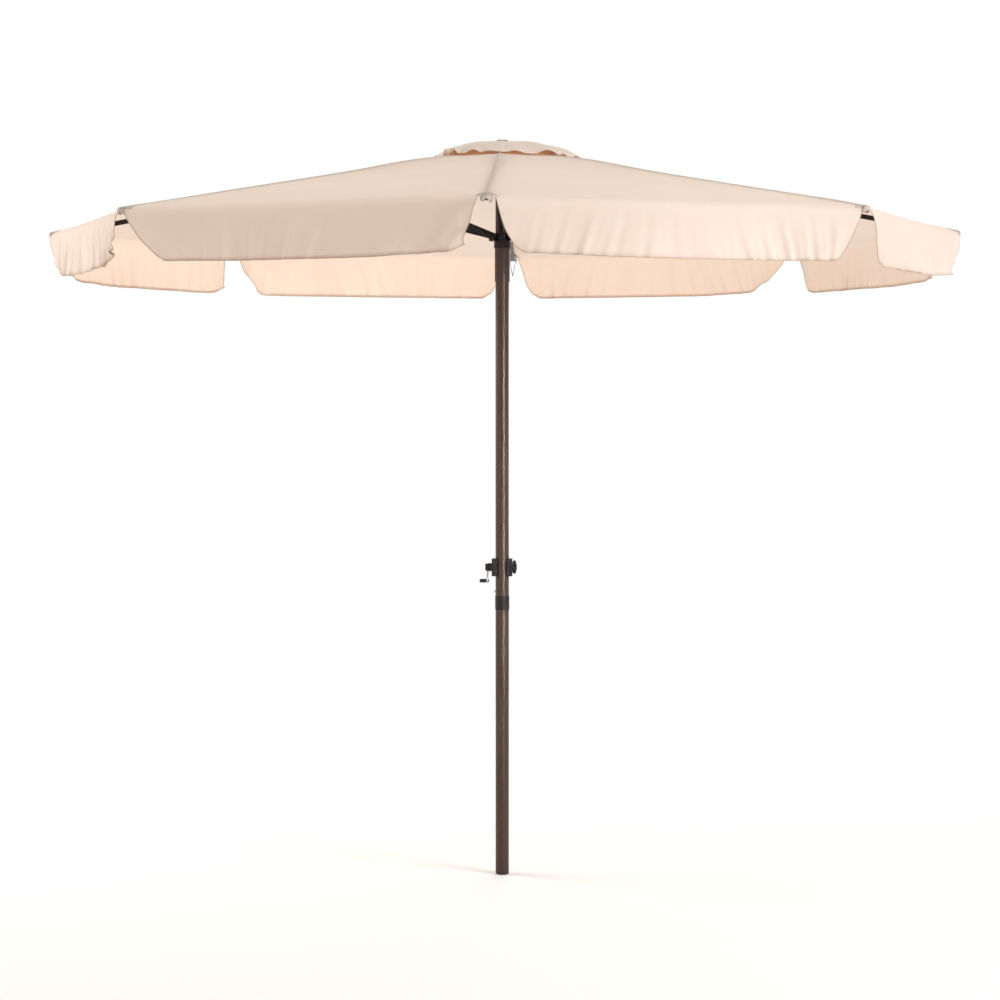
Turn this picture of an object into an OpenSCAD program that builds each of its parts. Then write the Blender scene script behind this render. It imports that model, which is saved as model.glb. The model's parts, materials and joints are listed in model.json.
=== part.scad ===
// Market umbrella with a crank lift, eight ribs, a vent cap and a hanging valance.
// Millimetres. The origin is the middle of the foot, +Z runs up the pole, rib 0 points to -Y.

/* [Canopy] */
// Diameter across opposite rib tips
canopy_d = 3000; // [2400:10:3400]
// Slope of the ribs below level when open, in degrees
rib_slope = 10.4; // [8:0.1:16]
// Height where the lines of the cloth meet on the axis
apex_h = 2417; // [2200:1:2600]
// Thickness of the cloth
cloth_t = 1.2; // [0.8:0.1:3]
// Drop of the cloth at the middle of a gore
gore_sag = 10; // [0:1:30]
// Radius of the vent opening under the cap
vent_r = 150; // [110:5:190]
// Radius of the vent cap at its corners
cap_r = 238; // [210:1:280]
// Height of the puffed vent cap above the line of the main cloth
cap_puff = 24; // [15:1:40]
// Drop of the valance flaps
valance_drop = 155; // [80:5:220]
// Gap between two flaps at a rib
valance_gap = 50; // [20:1:80]
// How far a flap's side slopes in towards its bottom edge
valance_slope = 70; // [0:1:90]

/* [Pole] */
// Outside diameter of both pole tubes
pole_od = 45; // [42:0.5:50]
// Wall of both tubes
pole_wall = 1.2; // [1:0.1:1.6]
// Height where the two tubes meet
joint_z = 913; // [880:1:920]
// Height of the collar over the joint
collar_h = 46; // [30:1:50]
// Wall of the collar
collar_wall = 1; // [0.8:0.1:2]
// Length of the upper pole's narrowed end inside the lower pole
insert_len = 170; // [150:5:220]
// Thickness of the foot plug's rim
foot_rim = 4; // [3:0.5:8]
// Height of the snap button above the collar
button_rise = 14; // [13:0.5:18]

/* [Ribs and struts] */
// Width of a rib tube
rib_w = 12; // [10:0.5:14]
// Height of a rib tube
rib_h = 15; // [12:0.5:18]
// Wall of a rib tube
rib_wall = 1; // [0.8:0.1:1.5]
// Distance from a rib's hinge to its strut pin, which is also the strut's length between pins
arm_len = 560; // [500:5:600]
// Distance from the pole's surface to the circle of hinges in the hub and the runner
hinge_reach = 15.5; // [15:0.5:22]
// Radius of every hinge pin
pin_r = 2.5; // [2:0.1:3]
// Width of a strut channel
strut_w = 16; // [15.5:0.5:18]
// Height of a strut channel
strut_h = 15; // [12:0.5:18]
// Wall of a strut channel
strut_wall = 1.4; // [1:0.1:1.6]
// Drop from the hub's hinge pins to the runner's when the umbrella is open
runner_drop = 274; // [240:1:300]

/* [Hub and runner] */
// How far the hub reaches out past its hinge circle
hub_lip = 12; // [11:0.5:16]
// Wall of the runner's sleeve
sleeve_wall = 2; // [1.6:0.1:3]
// Length of the runner's sleeve below its flange
sleeve_len = 110; // [60:1:130]
// How far the runner's flange stands out from its sleeve
flange_lip = 2.6; // [2.2:0.1:4]
// Running gap between the runner and the upper pole
runner_gap = 0.4; // [0.3:0.05:0.8]
// Radius of the finial disc
finial_r = 21; // [16:0.5:26]

/* [Crank] */
// Height of the crank shaft
crank_z = 1031; // [1010:1:1100]
// Height of the crank housing
housing_h = 59; // [50:1:66]
// Width of the crank housing across the pole
housing_w = 46; // [44:1:56]
// How far the crank housing stands out from the pole on each side
housing_out = 12; // [11:0.5:16]
// Radius of the crank shaft
shaft_r = 4; // [3:0.1:5]
// Distance from the crank shaft to the grip
crank_len = 62; // [45:1:80]
// Angle of the crank arm from straight down, towards -Y
crank_rest = 48; // [0:1:90]
// Radius of the rope
rope_r = 1.8; // [1.2:0.1:2.2]
// Radius of the spool's core
spool_core_r = 9; // [7:0.5:9.5]

/* [Hidden] */
$fn = 64;
COUNT = 8;
LAST = COUNT - 1;
STEP = 360 / COUNT;
HALF = STEP / 2;

// Colours
BROWN = "#4c403a";
DARK = "#2a2523";
GREY = "#8d8783";
SILVER = "#b9b6b2";
CLOTH = "#ead9c6";
ROPE = "#d8d2c6";

// Shared clearances
side_gap = 0.4;     // between a tongue and the cheeks beside it
run_gap = 0.05;     // round a pin that turns in its hole
open_gap = 0.5;     // round the runner's pins, where seven linkages are open
seat_gap = 0.15;    // between a tube and what guides it
skin_gap = 0.4;     // between cloth and metal
past = 1;           // how far a cut runs past a face

// Canopy geometry
canopy_r = canopy_d / 2;
fall = tan(rib_slope);
function cloth_z(r) = apex_h - fall * r;
tip_z = cloth_z(canopy_r);
half_chord = canopy_r * sin(HALF);
cloth_lift = 0.8;   // keeps the flat gores clear of the ribs' square edges

// Poles
pole_r = pole_od / 2;
pole_bore = pole_r - pole_wall;
insert_r = pole_bore - seat_gap;
insert_bore = insert_r - pole_wall;
insert_bottom = joint_z - insert_len;
collar_seat_r = pole_r - pole_wall / 4;
collar_bottom = joint_z - collar_h / 2;
collar_top = joint_z + collar_h / 2;
button_z = collar_top + button_rise;
button_r = 4;
button_out = 4;

// Rib line: the middle of the tube lies under the cloth
hinge_r = pole_r + hinge_reach;
rib_drop = (rib_h / 2 + skin_gap) / cos(rib_slope);
function rib_axis_z(r) = cloth_z(r) - rib_drop;
hub_z = rib_axis_z(hinge_r);
runner_z = round(hub_z - runner_drop);
pin_rise = (hub_z - runner_z) / 2;
arm_slope = asin(pin_rise / arm_len);
elbow_r = hinge_r + arm_len * cos(arm_slope);
elbow_z = hub_z - pin_rise;
rib_root = 24;
rib_end_gap = 16;
rib_len = canopy_r / cos(rib_slope);
rib_in_w = rib_w - 2 * rib_wall;
rib_in_h = rib_h - 2 * rib_wall;
eye_r = 6.5;
knuckle_r = 8;

// Rope: up inside the pole, over the pulley and down outside the pole between two ribs
rope_gap = 0.3;
spool_rope_r = spool_core_r + rope_r + rope_gap;
fall_turn = HALF * 5;
fall_x = pole_r + rope_r + 0.5;
pulley_turn_r = round(10 * (fall_x + (spool_core_r + rope_r) / sin(fall_turn))) / 20;
pulley_x = fall_x - pulley_turn_r;
rise_x = pulley_x - pulley_turn_r;
pulley_z = round(hub_z);
sheave_w = 8;
sheave_room = 3;

// Hub stack, from the pole's top end upwards
hub_r = hinge_r + hub_lip;
hub_under = hub_z - 16;
hub_top = hub_z + 9;
hub_skirt = 40;
hub_skirt_r = pole_r + 3.5;
hub_core_r = hinge_r - 9;
hub_pin_len = rib_w + 10;
pulley_pin_len = sheave_w + 18;
pole_top = hub_z - 20;
cap_seat = apex_h + 17;
cap_hole_r = 6;
stud_r = cap_hole_r - 1;
stud_l = 5;

// Runner stack, from its pins downwards
runner_bore = pole_r + runner_gap;
sleeve_r = runner_bore + sleeve_wall;
flange_r = sleeve_r + flange_lip;
ear_ring_r = runner_bore + 4;
ear_h = 30;
ear_top = runner_z + 14;
ear_ring_top = ear_top - 4;
ear_bottom = ear_top - ear_h;
flange_top = runner_z - 21;
flange_h = 19;
sleeve_bottom = flange_top - flange_h - sleeve_len;
tongue_w = strut_w - 2 * strut_wall - 2 * side_gap;

// Crank stack, out along X from the pole's axis
housing_edge = pole_r - 7;
housing_left_x = -pole_r - housing_out;
housing_right_x = pole_r + housing_out;
shaft_end = pole_r + 1.5;
stud_end = pole_r + 4.5;
boss_x = housing_left_x - 22;
boss_r = 14;
boss_step = 8;
arm_x = boss_x + 6;
arm_t = 5;
arm_w = 12;
arm_end_r = 8;
spindle_r = 3;
grip_l = 23;
grip_r = 6.3;
knob_x = housing_right_x + 14;
screw_r = 1.6;
spool_half = 13;
spool_flange_r = 13;
spool_flange_t = 2;

// Turn to the vertical plane of rib i, with +X pointing out along the rib
module at_rib(i) {
    rotate([0, 0, STEP * i - 90]) children();
}

// Lie along rib i's tube: +X runs out along its middle line from under the apex
module along_rib(i) {
    at_rib(i) translate([0, 0, rib_axis_z(0)]) rotate([0, rib_slope, 0]) children();
}

// A round bar along Y, centred on the rib plane
module cross_bar(radius, length) {
    rotate([90, 0, 0]) cylinder(r = radius, h = length, center = true);
}

// A round bar along X from one place to another
module bar_x(radius, from, to) {
    translate([from, 0, 0]) rotate([0, 90, 0]) cylinder(r = radius, h = to - from);
}

module tube(outer, inner, from, to) {
    difference() {
        translate([0, 0, from]) cylinder(r = outer, h = to - from);
        translate([0, 0, from - past]) cylinder(r = inner, h = to - from + 2 * past);
    }
}

// ---- Poles ----

module foot_plug() {
    spigot_h = 30;
    flat_r = pole_r - 6;
    color(DARK) {
        // domed rim that the tube stands on
        rotate_extrude() polygon([
            [0, 0], [flat_r, 0], [pole_r - 2, foot_rim * 0.3],
            [pole_r, foot_rim * 0.7], [pole_r, foot_rim], [0, foot_rim]
        ]);
        // spigot pressed into the tube
        translate([0, 0, foot_rim]) cylinder(r = pole_bore, h = spigot_h);
    }
}

module lower_pole() {
    color(BROWN) {
        tube(pole_r, pole_bore, foot_rim, collar_bottom);
        // narrower seat that the collar is pressed on
        tube(collar_seat_r, pole_bore, collar_bottom, joint_z);
    }
}

module pole_collar() {
    collar_r = pole_r + seat_gap + collar_wall;
    color(DARK) {
        tube(collar_r, collar_seat_r, collar_bottom, joint_z);
        tube(collar_r, pole_r + seat_gap, joint_z, collar_top);
    }
}

module upper_pole() {
    shoulder_h = 6;
    color(BROWN) difference() {
        union() {
            tube(pole_r, pole_bore, joint_z, pole_top);
            // narrowed end and the shoulder that stands on the lower pole
            tube(insert_r, insert_bore, insert_bottom, joint_z + past);
            tube(pole_bore + pole_wall / 2, insert_bore, joint_z, joint_z + shoulder_h);
        }
        // snap button
        translate([0, 0, button_z]) bar_x(button_r + side_gap / 2, -pole_r - past, 0);
        // crank shaft
        translate([0, 0, crank_z]) bar_x(shaft_r + 1, -pole_r - past, pole_r + past);
        screw_places() bar_x(screw_r, 0, pole_r + past);
    }
}

module snap_button() {
    leaf_r = pole_bore - button_out;
    leaf_t = 1;
    leaf_h = 24;
    leaf_w = 12;
    color(SILVER) translate([0, 0, button_z]) {
        bar_x(button_r, -pole_r - button_out, -leaf_r + leaf_t / 2);
        // leaf spring that pushes the button out
        intersection() {
            translate([0, 0, -leaf_h / 2]) tube(leaf_r, leaf_r - leaf_t, 0, leaf_h);
            translate([-leaf_r - past, -leaf_w / 2, -leaf_h / 2]) cube([leaf_r, leaf_w, leaf_h]);
        }
    }
}

// ---- Crank ----

// A rounded block against one side of the pole, shaped to the pole's wall
module housing_block(from, to) {
    corner = 7;
    depth = housing_w / 2 - corner;
    rise = housing_h / 2 - corner;
    difference() {
        translate([from, 0, crank_z]) rotate([90, 0, 90]) linear_extrude(to - from) {
            square([2 * depth, housing_h], center = true);
            square([housing_w, 2 * rise], center = true);
            for (y = [-depth, depth], z = [-rise, rise]) translate([y, z]) circle(corner);
        }
        translate([0, 0, crank_z - housing_h]) cylinder(r = pole_r, h = 2 * housing_h);
    }
}

// Screws through the pole above and below the housing, front and back on the right
module screw_places() {
    screw_turn = 40;
    screw_rise = housing_h / 2 + 6;
    for (turn = [-screw_turn, screw_turn], z = [-screw_rise, screw_rise])
        translate([0, 0, crank_z + z]) rotate([0, 0, turn]) children();
}

module crank_housing_left() {
    color(DARK) difference() {
        housing_block(housing_left_x, -housing_edge);
        translate([0, 0, crank_z]) bar_x(shaft_r + run_gap, housing_left_x - past, 0);
    }
}

module crank_housing_right() {
    groove_w = 2;
    groove_pitch = 4;
    groove_top = 6;
    grooves = 5;
    color(DARK) difference() {
        housing_block(housing_edge, housing_right_x - 1);
        translate([0, 0, crank_z]) {
            bar_x(shaft_r + run_gap, 0, shaft_end + past);
            bar_x(shaft_r + run_gap, stud_end - skin_gap, housing_right_x);
        }
        // finger grooves on the lower half of the front edge
        for (n = [0 : grooves - 1])
            translate([pole_r, -housing_w / 2 - past, crank_z - groove_top - groove_pitch * n])
                cube([housing_right_x, past + 1, groove_w]);
    }
}

module housing_screws() {
    bite = 3;
    head_h = 1.2;
    head_r = 2.6;
    color(DARK) screw_places() {
        bar_x(screw_r, pole_bore - bite, pole_r);
        bar_x(head_r, pole_r, pole_r + head_h);
    }
}

module crank_shaft() {
    color(SILVER) translate([0, 0, crank_z]) bar_x(shaft_r, boss_x + boss_step / 2, shaft_end);
}

module rope_spool() {
    color(GREY) translate([0, 0, crank_z]) difference() {
        union() {
            bar_x(spool_core_r, -spool_half, spool_half);
            bar_x(spool_flange_r, -spool_half, -spool_half + spool_flange_t);
            bar_x(spool_flange_r, spool_half - spool_flange_t, spool_half);
        }
        bar_x(shaft_r, -spool_half - past, spool_half + past);
    }
}

// Turn about the crank shaft so that -Z points along the arm
module at_arm() {
    translate([0, 0, crank_z]) rotate([-crank_rest, 0, 0]) children();
}

module crank_arm() {
    color(SILVER) at_arm() difference() {
        union() {
            bar_x(boss_r, boss_x + boss_step, housing_left_x - 1);
            bar_x(boss_r - 2, boss_x, boss_x + boss_step);
            translate([arm_x, -arm_w / 2, -crank_len]) cube([arm_t, arm_w, crank_len]);
            translate([0, 0, -crank_len]) bar_x(arm_end_r, arm_x, arm_x + arm_t);
        }
        bar_x(shaft_r, boss_x + boss_step / 2, housing_left_x);
        translate([0, 0, -crank_len]) bar_x(spindle_r, arm_x - past, arm_x + arm_t + past);
    }
}

module crank_grip() {
    neck = 1;
    round_l = 3;
    head_r = 5;
    head_h = 2;
    color(DARK) at_arm() translate([0, 0, -crank_len]) {
        bar_x(grip_r, arm_x - grip_l + round_l, arm_x - neck);
        bar_x(grip_r - 1.2, arm_x - grip_l, arm_x - grip_l + round_l);
        bar_x(spindle_r - run_gap, arm_x - neck, arm_x + arm_t + neck);
        bar_x(head_r, arm_x + arm_t + neck, arm_x + arm_t + neck + head_h);
    }
}

module brake_knob() {
    lobes = 7;
    lobe_r = 5.5;
    lobe_at = 17;
    face = 2;
    color(DARK) translate([0, 0, crank_z]) {
        bar_x(lobe_at, housing_right_x - 1, knob_x - face);
        bar_x(lobe_at - 6, knob_x - face, knob_x);
        for (n = [0 : lobes - 1])
            rotate([n * 360 / lobes, 0, 0]) translate([0, 0, lobe_at])
                bar_x(lobe_r, housing_right_x + 1, knob_x - face - 1);
        // brake stud that screws into the housing
        bar_x(shaft_r, stud_end, housing_right_x);
    }
}

// ---- Rope and pulley ----

// Turn to the plane of the pulley, with +X pointing out to where the rope falls
module at_fall() {
    rotate([0, 0, fall_turn]) children();
}

module rope_pulley() {
    bore = pin_r + run_gap;
    color(GREY) at_fall() translate([pulley_x, 0, pulley_z]) rotate([90, 0, 0]) rotate_extrude()
        difference() {
            translate([bore, -sheave_w / 2]) square([pulley_turn_r - bore, sheave_w]);
            translate([pulley_turn_r, 0]) circle(rope_r + rope_gap);
        }
}

module lift_rope() {
    fall_end = ear_ring_top + skin_gap;
    turn_pitch = 2 * rope_r + 0.1;
    leave_x = rise_x * cos(fall_turn);
    color(ROPE) {
        // turns on the spool; one of them leaves for the pole
        translate([0, 0, crank_z]) rotate([0, 90, 0]) {
            for (n = [-3 : 1]) translate([0, 0, leave_x + n * turn_pitch])
                rotate([0, 0, 270]) rotate_extrude(angle = n == 0 ? 340 : 360)
                    translate([spool_rope_r, 0]) circle(rope_r);
        }
        at_fall() {
            // run inside the pole, up to the pulley
            translate([rise_x, 0, crank_z]) cylinder(r = rope_r, h = pulley_z - crank_z);
            // half turn over the pulley
            translate([pulley_x, 0, pulley_z]) rotate([90, 0, 0])
                rotate_extrude(angle = 180) translate([pulley_turn_r, 0]) circle(rope_r);
            // fall outside the pole down to the runner
            translate([fall_x, 0, fall_end]) cylinder(r = rope_r, h = pulley_z - fall_end);
        }
    }
}

// ---- Hub and runner ----

module top_hub() {
    slot_w = rib_in_w + 2 * side_gap;
    rope_way = 2 * (rope_r + rope_gap) + 1;
    skirt_bottom = hub_under - hub_skirt;
    room_bottom = pole_top - past;
    room_top = pulley_z + pulley_turn_r + 5;
    neck_top = cap_seat - skin_gap;
    color(DARK) difference() {
        union() {
            translate([0, 0, hub_under]) cylinder(r = hub_r, h = hub_top - hub_under);
            translate([0, 0, skirt_bottom]) cylinder(r = hub_skirt_r, h = hub_skirt + past);
            // neck that carries the cap and the finial
            translate([0, 0, hub_top - past]) cylinder(r = hub_core_r, h = neck_top - hub_top + past);
        }
        // seat for the pole
        translate([0, 0, skirt_bottom - past])
            cylinder(r = pole_r, h = pole_top - skirt_bottom + past);
        // slots for the rib ends, and holes for their pins
        for (i = [0 : LAST]) at_rib(i) {
            translate([hub_core_r, -slot_w / 2, hub_under - past])
                cube([hub_r, slot_w, hub_top - hub_under + 2 * past]);
            translate([hinge_r, 0, hub_z]) cross_bar(pin_r, hub_pin_len);
        }
        at_fall() {
            // room for the pulley, its pin, and the rope on its way down
            translate([rise_x - sheave_room, -sheave_w / 2 - 1, room_bottom])
                cube([2 * (pulley_turn_r + sheave_room), sheave_w + 2, room_top - room_bottom]);
            translate([pulley_x, 0, pulley_z]) cross_bar(pin_r, pulley_pin_len);
            translate([fall_x - rope_way / 2, -rope_way / 2, skirt_bottom - past])
                cube([rope_way, rope_way, pulley_z - skirt_bottom]);
        }
        // thread for the finial
        translate([0, 0, cap_seat - stud_l]) cylinder(r = stud_r, h = stud_l + past);
    }
}

// The pins of the ribs and of the pulley
module hub_pins() {
    color(SILVER) {
        for (i = [0 : LAST]) at_rib(i) translate([hinge_r, 0, hub_z]) cross_bar(pin_r, hub_pin_len);
        at_fall() translate([pulley_x, 0, pulley_z]) cross_bar(pin_r, pulley_pin_len);
    }
}

module finial() {
    under = cap_seat + cloth_t + skin_gap;
    rim_top = cap_seat + 6;
    top = cap_seat + 11;
    bevel = 4;
    color(DARK) rotate_extrude() polygon([
        [0, cap_seat - stud_l], [stud_r, cap_seat - stud_l], [stud_r, under], [finial_r, under],
        [finial_r, rim_top], [finial_r - bevel, top - 1], [0, top]
    ]);
}

module runner() {
    foot_in = 6;
    color(DARK) difference() {
        union() {
            tube(ear_ring_r, runner_bore, flange_top - past, ear_ring_top);
            tube(flange_r, runner_bore, flange_top - flange_h, flange_top);
            tube(sleeve_r, runner_bore, sleeve_bottom, flange_top - flange_h + past);
            for (i = [0 : LAST]) at_rib(i) {
                // ear, its eye and its foot
                translate([runner_bore + 2, -tongue_w / 2, ear_bottom])
                    cube([hinge_reach - runner_gap - 2, tongue_w, ear_h - foot_in]);
                translate([hinge_r, 0, runner_z]) cross_bar(knuckle_r, tongue_w);
                translate([hinge_r - foot_in, -tongue_w / 2, ear_bottom])
                    cube([2 * foot_in, tongue_w, runner_z - ear_bottom]);
            }
        }
        for (i = [0 : LAST]) at_rib(i)
            translate([hinge_r, 0, runner_z]) cross_bar(pin_r, tongue_w + 2 * past);
        translate([0, 0, sleeve_bottom - past])
            cylinder(r = runner_bore, h = ear_top - sleeve_bottom + 2 * past);
    }
}

module runner_pins() {
    color(SILVER) for (i = [0 : LAST]) at_rib(i) translate([hinge_r, 0, runner_z])
        cross_bar(pin_r, strut_w + 1);
}

// ---- Ribs and struts ----

// A point in the rib's plane, measured along and across the rib
function rib_frame(r, z) = [
    r * cos(rib_slope) - (z - rib_axis_z(0)) * sin(rib_slope),
    r * sin(rib_slope) + (z - rib_axis_z(0)) * cos(rib_slope)
];
HINGE = rib_frame(hinge_r, hub_z);
ELBOW = rib_frame(elbow_r, elbow_z);

module rib(i) {
    start = HINGE[0] + rib_root;
    end = rib_len - rib_end_gap;
    root_in_tube = 20;
    color(BROWN) along_rib(i) {
        difference() {
            translate([start, -rib_w / 2, -rib_h / 2]) cube([end - start, rib_w, rib_h]);
            translate([start - past, -rib_in_w / 2, -rib_in_h / 2]) cube([rib_len, rib_in_w, rib_in_h]);
        }
        // forged root with the hinge eye
        difference() {
            union() {
                translate([HINGE[0], 0, HINGE[1]]) cross_bar(eye_r, rib_in_w);
                translate([HINGE[0], -rib_in_w / 2, -rib_in_h / 2])
                    cube([rib_root + root_in_tube, rib_in_w, rib_in_h]);
            }
            translate([HINGE[0], 0, HINGE[1]]) cross_bar(pin_r + run_gap, rib_w + 2 * past);
        }
    }
}

module rib_fittings(i) {
    saddle_l = 36;
    wrap = 1.5;
    saddle_h = 10;
    saddle_bottom = -rib_h / 2 - wrap;
    spigot_l = 14;
    tip_l = 9;
    tip_w = 26;
    tip_end = rib_len - 3;
    color(DARK) along_rib(i) {
        difference() {
            union() {
                // saddle clipped over the rib's lower half
                translate([ELBOW[0] - saddle_l / 2, -rib_w / 2 - wrap, saddle_bottom])
                    cube([saddle_l, rib_w + 2 * wrap, saddle_h]);
                // tongue down to the strut pin
                translate([ELBOW[0] - knuckle_r, -tongue_w / 2, ELBOW[1]])
                    cube([2 * knuckle_r, tongue_w, saddle_bottom - ELBOW[1] + past]);
                translate([ELBOW[0], 0, ELBOW[1]]) cross_bar(knuckle_r, tongue_w);
            }
            translate([ELBOW[0] - saddle_l, -rib_w / 2, -rib_h / 2]) cube([2 * saddle_l, rib_w, 2 * rib_h]);
            translate([ELBOW[0], 0, ELBOW[1]]) cross_bar(pin_r, tongue_w + 2 * past);
        }
        translate([ELBOW[0], 0, ELBOW[1]]) cross_bar(pin_r, strut_w + 4);
        // tip cap: a spigot in the tube and a wedge that the cloth's pocket pulls over
        translate([rib_len - rib_end_gap - spigot_l, -rib_in_w / 2, -rib_in_h / 2])
            cube([spigot_l + 2 * past, rib_in_w, rib_in_h]);
        translate([0, 0, -rib_h / 2]) linear_extrude(rib_h - 1) polygon([
            [rib_len - rib_end_gap, -rib_w / 2], [rib_len - rib_end_gap, rib_w / 2],
            [rib_len - rib_end_gap + tip_l, tip_w / 2], [tip_end, tip_w / 2],
            [tip_end, -tip_w / 2], [rib_len - rib_end_gap + tip_l, -tip_w / 2]
        ]);
    }
}

module strut(i) {
    over = 9;
    open_end = 30;
    channel_w = strut_w - 2 * strut_wall;
    color(BROWN) at_rib(i) translate([hinge_r, 0, runner_z]) rotate([0, -arm_slope, 0]) difference() {
        union() {
            translate([0, -strut_w / 2, -strut_h / 2]) cube([arm_len, strut_w, strut_h]);
            cross_bar(strut_h / 2, strut_w);
            translate([arm_len, 0, 0]) cross_bar(strut_h / 2, strut_w);
        }
        // the channel, open below
        translate([-over * 2, -channel_w / 2, -strut_h])
            cube([arm_len + over * 4, channel_w, strut_h * 1.5 - strut_wall]);
        // both ends are open above too, for the ear and the tongue
        for (x = [-over * 2, arm_len - open_end + over])
            translate([x, -channel_w / 2, -strut_h]) cube([open_end + over, channel_w, strut_h * 2]);
        cross_bar(pin_r + open_gap, strut_w + 2 * past);
        translate([arm_len, 0, 0]) cross_bar(pin_r + run_gap, strut_w + 2 * past);
    }
}

// ---- Cloth ----

// A thin closed sheet from a grid of points, thickened downwards
module sheet(grid, thick) {
    rows = len(grid);
    cols = len(grid[0]);
    count = rows * cols;
    points = concat(
        [for (row = grid) for (p = row) p],
        [for (row = grid) for (p = row) p - [0, 0, thick]]
    );
    function at(r, c) = r * cols + c;
    top = [for (r = [0 : rows - 2], c = [0 : cols - 2]) each [
        [at(r, c), at(r, c + 1), at(r + 1, c + 1)],
        [at(r, c), at(r + 1, c + 1), at(r + 1, c)]]];
    rim = concat(
        [for (c = [0 : cols - 1]) at(0, c)],
        [for (r = [1 : rows - 1]) at(r, cols - 1)],
        [for (c = [cols - 2 : -1 : 0]) at(rows - 1, c)],
        [for (r = [rows - 2 : -1 : 1]) at(r, 0)]
    );
    edge = [for (k = [0 : len(rim) - 1]) let (a = rim[k], b = rim[(k + 1) % len(rim)]) each [
        [b, a, a + count], [b, a + count, b + count]]];
    polyhedron(
        points,
        concat(top, [for (f = top) [f[2] + count, f[1] + count, f[0] + count]], edge),
        convexity = 4
    );
}

// Share of the way from a rib to the middle of its gore
function gore_share(turn) = abs(turn) / HALF;
// How far out a point lies along its rib, when it lies on the chord between two ribs
function chord_scale(turn) = cos(HALF) / cos(HALF - abs(turn));

module canopy_sector(i) {
    spread = HALF - 0.05;
    across = 6;
    rings = 6;
    cap_rings = 4;
    cap_clear = 12;
    color(CLOTH) at_rib(i) {
        sheet([for (k = [0 : rings]) let (r = vent_r + (canopy_r - vent_r) * k / rings)
            [for (n = [-across : across]) let (
                turn = spread * n / across,
                out = r * chord_scale(turn),
                dip = gore_sag * sin(90 * gore_share(turn)) * sin(180 * k / rings)
            ) [out * cos(turn), out * sin(turn), cloth_z(r) + cloth_lift + cloth_t - dip]]], cloth_t);
        sheet([for (k = [0 : cap_rings]) let (r = cap_hole_r + (cap_r - cap_hole_r) * k / cap_rings)
            [for (n = [-across : across]) let (
                turn = spread * n / across,
                out = r * chord_scale(turn),
                puff = cap_puff * (1 - pow(k / cap_rings, 4)) + cap_clear
            ) [out * cos(turn), out * sin(turn),
               min(cloth_z(r) + puff, cap_seat) + cloth_t]]], cloth_t);
    }
}

module valance(i) {
    hem_gap = 2;
    flap_end = half_chord - 1;
    color(CLOTH) at_rib(i) for (side = [-1, 1])
        translate([canopy_r, 0, tip_z]) rotate([0, 0, side * (90 + HALF)])
            translate([0, 0, -valance_drop]) rotate([90, 0, 0]) linear_extrude(cloth_t, center = true)
                polygon([
                    [valance_gap / 2, valance_drop - hem_gap], [flap_end, valance_drop - hem_gap],
                    [flap_end, 0], [valance_gap / 2 + valance_slope, 0]
                ]);
}

foot_plug();
lower_pole();
pole_collar();
upper_pole();
snap_button();
crank_housing_left();
crank_housing_right();
housing_screws();
crank_shaft();
rope_spool();
crank_arm();
crank_grip();
brake_knob();
lift_rope();
rope_pulley();
top_hub();
hub_pins();
finial();
runner();
runner_pins();
for (i = [0 : LAST]) rib(i);
for (i = [0 : LAST]) rib_fittings(i);
for (i = [0 : LAST]) strut(i);
for (i = [0 : LAST]) canopy_sector(i);
for (i = [0 : LAST]) valance(i);
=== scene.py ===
"""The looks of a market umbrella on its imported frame, with soft studio light and a camera."""

import json
import logging
import math
from collections.abc import Callable, Sequence
from dataclasses import dataclass, field
from enum import Enum

import bpy
import numpy as np
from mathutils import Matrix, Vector


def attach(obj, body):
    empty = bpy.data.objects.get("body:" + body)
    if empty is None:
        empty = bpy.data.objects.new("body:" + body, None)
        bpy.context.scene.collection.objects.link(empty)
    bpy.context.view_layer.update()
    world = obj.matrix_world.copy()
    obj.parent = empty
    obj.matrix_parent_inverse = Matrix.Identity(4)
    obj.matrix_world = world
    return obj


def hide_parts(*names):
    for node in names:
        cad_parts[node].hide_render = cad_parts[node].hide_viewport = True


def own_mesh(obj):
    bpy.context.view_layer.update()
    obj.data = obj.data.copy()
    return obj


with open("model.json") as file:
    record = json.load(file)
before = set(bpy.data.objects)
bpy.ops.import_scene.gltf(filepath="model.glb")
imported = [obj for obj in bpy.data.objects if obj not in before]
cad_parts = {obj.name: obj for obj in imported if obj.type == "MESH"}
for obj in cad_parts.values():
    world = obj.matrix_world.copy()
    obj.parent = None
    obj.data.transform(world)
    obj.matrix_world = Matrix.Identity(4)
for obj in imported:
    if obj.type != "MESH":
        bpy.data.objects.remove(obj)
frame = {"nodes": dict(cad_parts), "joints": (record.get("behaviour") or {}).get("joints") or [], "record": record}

log = logging.getLogger("umbrella")

RIBS = 8
STEP = 2 * math.pi / RIBS
# Distance between neighbouring ribs at 1 m from the axis
CHORD = 2 * math.sin(STEP / 2)
# Share of a sheet over which its slope is taken
SLOPE_STEP = 1e-4
Array = np.ndarray
Colour = tuple[float, float, float]


def rib_way(rib: float) -> Array:
    """Return the level unit vector that points out along a rib."""
    turn = STEP * rib - math.pi / 2
    return np.array([math.cos(turn), math.sin(turn), 0.0])


def rib_side(rib: float) -> Array:
    """Return the level unit vector square to a rib, a quarter turn to its left."""
    way = rib_way(rib)
    return np.array([-way[1], way[0], 0.0])


def joint_place(name: str) -> Array:
    """Return the pivot of one of the frame's hinges."""
    return np.array(next(j["pos_m"] for j in frame["joints"] if j["name"] == name))


def smooth(value: Array, low: float, high: float) -> Array:
    """Ease from 0 at low to 1 at high.

    Args:
        value: where to look.
        low: the value that gives 0.
        high: the value that gives 1.

    Returns:
        The eased share, with the shape of value.
    """
    t = np.clip((np.asarray(value, float) - low) / (high - low), 0.0, 1.0)
    return t * t * (3 - 2 * t)


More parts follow.
